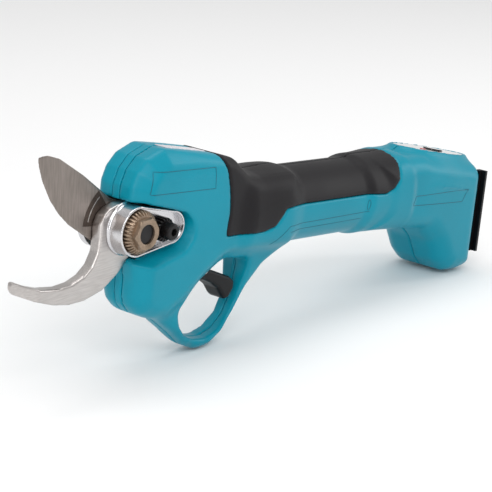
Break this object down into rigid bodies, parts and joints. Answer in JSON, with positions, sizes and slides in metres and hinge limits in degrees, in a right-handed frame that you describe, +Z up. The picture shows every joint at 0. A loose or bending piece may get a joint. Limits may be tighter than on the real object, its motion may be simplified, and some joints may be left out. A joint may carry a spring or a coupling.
{
  "type": "battery electric pruner",
  "caption": "Straight-handled battery pruner with a fixed hook blade, a motor-driven cutting blade, a trigger in a closed guard and a slide-on battery seat.",
  "frame": {"origin": "centre of the bounding box on the surface that the tool stands on, with its trigger guard and heel down", "axes": "+X towards the battery end, blades at -X, +Z up, +Y towards the tool's right side"},
  "size_m": [0.298, 0.0375, 0.0986],
  "materials": {
    "teal_housing": "fine moulded texture",
    "teal_strip": "painted cast edge",
    "grip_rubber": "moulded soft grip",
    "hook_steel": "brushed",
    "coated_blade_steel": "satin coated",
    "machined_aluminium": "machined",
    "bronze_nut_steel": "phosphated",
    "black_oxide_steel": "black oxide",
    "bearing_steel": "ground",
    "bronze_bush": "turned",
    "black_plastic": "moulded",
    "gloss_black": "gloss",
    "lamp_red": "clear red",
    "copper": "wound",
    "board_green": "solder mask",
    "magnet_black": "sintered",
    "zinc_screws": "zinc plated",
    "spring_steel": "drawn"
  },
  "bodies": {
    "root": {"battery_rails": "black_plastic", "battery_terminals": "copper", "bearing_housing": "machined_aluminium", "blade_holder": "machined_aluminium", "capacitors": "gloss_black", "control_panel": "gloss_black", "controller_board": "board_green", "fixed_blade": "hook_steel", "frame_plate": "machined_aluminium", "frame_spacers": "bearing_steel", "gearbox_case": "machined_aluminium", "heat_sink": "machined_aluminium", "housing_screws": "black_oxide_steel", "left_grip": "grip_rubber", "left_housing": "teal_housing", "lock_screw": "black_oxide_steel", "lower_nose_strip": "teal_strip", "motor_can": "magnet_black", "motor_end_cap": "black_plastic", "motor_windings": "copper", "panel_board": "board_green", "pivot_bolt": "black_oxide_steel", "right_grip": "grip_rubber", "right_housing": "teal_housing", "screw_bearings": "bearing_steel", "stator": "magnet_black", "status_lamp": "lamp_red", "terminal_block": "black_plastic", "thrust_spacer": "bearing_steel", "trigger_pin": "bearing_steel", "trigger_spring": "spring_steel", "trigger_switch": "black_plastic", "upper_nose_strip": "teal_strip"},
    "moving_blade": {"moving_blade": "coated_blade_steel", "pivot_bush": "bronze_bush", "crank_pin": "bearing_steel"},
    "adjuster": {"adjusting_nut": "bronze_nut_steel"},
    "pinion": {"lock_pinion": "black_oxide_steel"},
    "nut": {"ball_nut": "bearing_steel", "nut_yoke": "bearing_steel", "yoke_pin": "bearing_steel"},
    "link": {"drive_link": "bearing_steel"},
    "screw": {"ball_screw": "bearing_steel", "planet_carrier": "bearing_steel", "planet_gears": "bearing_steel"},
    "rotor": {"motor_rotor": "magnet_black", "motor_shaft": "bearing_steel"},
    "trigger": {"trigger": "black_plastic"},
    "plunger": {"switch_plunger": "lamp_red"},
    "power_button": {"power_button": "gloss_black"}
  },
  "joints": [
    {"name": "blade_cut", "type": "hinge", "parent": "root", "child": "moving_blade", "pos_m": [-0.09083, 0, 0.06371], "axis": [0, -1, 0], "range_deg": [0, 54]},
    {"name": "nut_travel", "type": "slide", "parent": "root", "child": "nut", "axis": [-0.9961, 0, 0.0881], "range_m": [0, 0.00887]},
    {"name": "link_swing", "type": "hinge", "parent": "nut", "child": "link", "pos_m": [-0.0511, 0.006, 0.0602], "axis": [0, 1, 0], "range_deg": [0, 25.74]},
    {"name": "screw_turn", "type": "hinge", "parent": "root", "child": "screw", "pos_m": [-0.03106, 0, 0.05843], "axis": [0.9961, 0, -0.0881], "range_deg": [0, 783]},
    {"name": "rotor_turn", "type": "hinge", "parent": "root", "child": "rotor", "pos_m": [0.03867, 0, 0.05226], "axis": [0.9961, 0, -0.0881], "range_deg": [0, 3517]},
    {"name": "nut_adjust", "type": "hinge", "parent": "root", "child": "adjuster", "pos_m": [-0.09083, -0.013, 0.06371], "axis": [0, -1, 0], "range_deg": [-90, 90]},
    {"name": "pinion_turn", "type": "hinge", "parent": "root", "child": "pinion", "pos_m": [-0.07788, -0.013, 0.06257], "axis": [0, -1, 0], "range_deg": [-190, 190]},
    {"name": "trigger_pull", "type": "hinge", "parent": "root", "child": "trigger", "pos_m": [-0.04404, 0, 0.03648], "axis": [0, -1, 0], "range_deg": [0, 14], "stiffness_Nm_per_rad": 0.05, "springref_deg": -17.19},
    {"name": "plunger_press", "type": "slide", "parent": "root", "child": "plunger", "axis": [-0.9961, 0, 0.0881], "range_m": [0, 0.0024]},
    {"name": "power_press", "type": "slide", "parent": "root", "child": "power_button", "axis": [-0.2259, 0, -0.9742], "range_m": [0, 0.0006], "stiffness_N_per_m": 800, "springref_m": -0.0006}
  ],
  "couplings": [
    {"joint": "nut_travel", "follows": "blade_cut", "m_per_rad": 0.0092},
    {"joint": "link_swing", "follows": "blade_cut", "ratio": 0.4675},
    {"joint": "screw_turn", "follows": "blade_cut", "ratio": 14.451},
    {"joint": "rotor_turn", "follows": "blade_cut", "ratio": 65.031},
    {"joint": "pinion_turn", "follows": "nut_adjust", "ratio": -1.8889},
    {"joint": "plunger_press", "follows": "trigger_pull", "m_per_rad": 0.0079}
  ]
}
